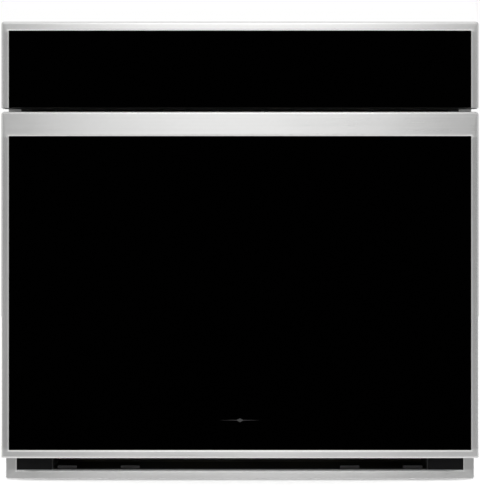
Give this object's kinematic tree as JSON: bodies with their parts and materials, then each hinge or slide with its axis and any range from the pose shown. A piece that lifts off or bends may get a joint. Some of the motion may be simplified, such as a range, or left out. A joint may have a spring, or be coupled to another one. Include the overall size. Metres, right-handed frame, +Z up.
{
  "type": "wall oven",
  "caption": "Built-in electric wall oven: black glass drop-down door in a stainless steel frame, glass control panel, enamelled cavity with wire racks and convection fan.",
  "frame": {"origin": "middle of the underside of the oven's base, where it stands on the floor of the cabinet cut-out", "axes": "+X to the right seen from the front, -Y out of the front towards the cook, +Z up"},
  "size_m": [0.7556, 0.662, 0.727],
  "materials": {
    "stainless": "brushed along its length",
    "galvanised": "dull zinc",
    "black_glass": "polished",
    "clear_glass": "polished",
    "enamel": "glossy, speckled",
    "black_paint": "satin",
    "black_plastic": "fine texture",
    "chrome_wire": "bright",
    "sheathed_steel": "heat-darkened",
    "hinge_steel": "plain",
    "spring_steel": "oiled",
    "glass_wool": "fibrous",
    "woven_seal": "woven",
    "circuit": "lacquered",
    "porcelain": "unglazed"
  },
  "bodies": {
    "chassis": {"base_pan": "galvanised", "side_panel_left": "galvanised", "side_panel_right": "galvanised", "rear_panel": "galvanised", "top_panel": "galvanised", "service_deck": "galvanised", "mounting_flange_left": "stainless", "mounting_flange_right": "stainless", "lower_vent_trim": "stainless", "lower_vent_duct": "black_paint", "upper_vent_grille": "black_paint", "cavity_liner": "enamel", "cavity_gasket": "woven_seal", "insulation_wrap": "glass_wool", "insulation_rear": "glass_wool", "bake_element": "sheathed_steel", "broil_element": "sheathed_steel", "convection_element": "sheathed_steel", "fan_cover": "enamel", "convection_motor": "spring_steel", "lamp_housing_left": "porcelain", "lamp_housing_right": "porcelain", "lamp_lens_left": "clear_glass", "lamp_lens_right": "clear_glass", "temperature_sensor": "chrome_wire", "rack_guide_left": "chrome_wire", "rack_guide_right": "chrome_wire", "blower_housing": "galvanised", "blower_motor": "spring_steel", "power_board": "circuit", "lock_motor": "black_plastic", "conduit_gland": "hinge_steel", "panel_bezel": "stainless", "panel_glass": "black_glass", "panel_housing": "black_plastic", "display_module": "circuit", "hinge_arm_left": "hinge_steel", "hinge_arm_right": "hinge_steel", "hinge_receptor_left": "galvanised", "hinge_receptor_right": "galvanised"},
    "door": {"door_frame": "stainless", "door_outer_glass": "black_glass", "door_inner_liner": "enamel", "door_middle_glass": "clear_glass", "door_inner_glass": "clear_glass", "door_insulation": "glass_wool", "hinge_channel_left": "hinge_steel", "hinge_channel_right": "hinge_steel", "hinge_pin_left": "spring_steel", "hinge_pin_right": "spring_steel", "hinge_spring_left": "spring_steel", "hinge_spring_right": "spring_steel"},
    "hinge_rod_left": {"hinge_rod_left": "hinge_steel"},
    "hinge_rod_right": {"hinge_rod_right": "hinge_steel"},
    "rack_lower": {"rack_lower": "chrome_wire"},
    "rack_middle": {"rack_middle": "chrome_wire"},
    "rack_upper": {"rack_upper": "chrome_wire"},
    "convection_fan": {"convection_fan": "hinge_steel"},
    "blower_wheel": {"blower_wheel": "galvanised"},
    "lock_hook": {"lock_hook": "hinge_steel"}
  },
  "joints": [
    {"name": "door_hinge", "type": "hinge", "parent": "chassis", "child": "door", "pos_m": [0, -0.321, 0.0351], "axis": [1, 0, 0], "range_deg": [0, 90], "stiffness_Nm_per_rad": 12, "springref_deg": -20.05},
    {"name": "hinge_rod_left_slide", "type": "slide", "parent": "door", "child": "hinge_rod_left", "axis": [0, 0, 1], "range_m": [0, 0.0062], "deforming": ["hinge_spring_left"]},
    {"name": "hinge_rod_right_slide", "type": "slide", "parent": "door", "child": "hinge_rod_right", "axis": [0, 0, 1], "range_m": [0, 0.0062], "deforming": ["hinge_spring_right"]},
    {"name": "rack_lower_slide", "type": "slide", "parent": "chassis", "child": "rack_lower", "axis": [0, -1, 0], "range_m": [0, 0.285]},
    {"name": "rack_middle_slide", "type": "slide", "parent": "chassis", "child": "rack_middle", "axis": [0, -1, 0], "range_m": [0, 0.285]},
    {"name": "rack_upper_slide", "type": "slide", "parent": "chassis", "child": "rack_upper", "axis": [0, -1, 0], "range_m": [0, 0.285]},
    {"name": "convection_fan_spin", "type": "hinge", "parent": "chassis", "child": "convection_fan", "pos_m": [0, 0.17, 0.3052], "axis": [0, -1, 0], "continuous": true},
    {"name": "blower_wheel_spin", "type": "hinge", "parent": "chassis", "child": "blower_wheel", "pos_m": [-0.06, 0.105, 0.61], "axis": [0, 0, 1], "continuous": true},
    {"name": "lock_hook_swing", "type": "hinge", "parent": "chassis", "child": "lock_hook", "pos_m": [0, -0.28, 0.56], "axis": [0, 0, 1], "range_deg": [0, 14]}
  ],
  "couplings": [
    {"joint": "hinge_rod_left_slide", "follows": "door_hinge", "m_per_rad": 0.0038197},
    {"joint": "hinge_rod_right_slide", "follows": "door_hinge", "m_per_rad": 0.0038197},
    {"joint": "rack_lower_slide", "follows": "door_hinge", "m_per_rad": 0.18},
    {"joint": "rack_middle_slide", "follows": "door_hinge", "m_per_rad": 0.18},
    {"joint": "rack_upper_slide", "follows": "door_hinge", "m_per_rad": 0.18}
  ]
}
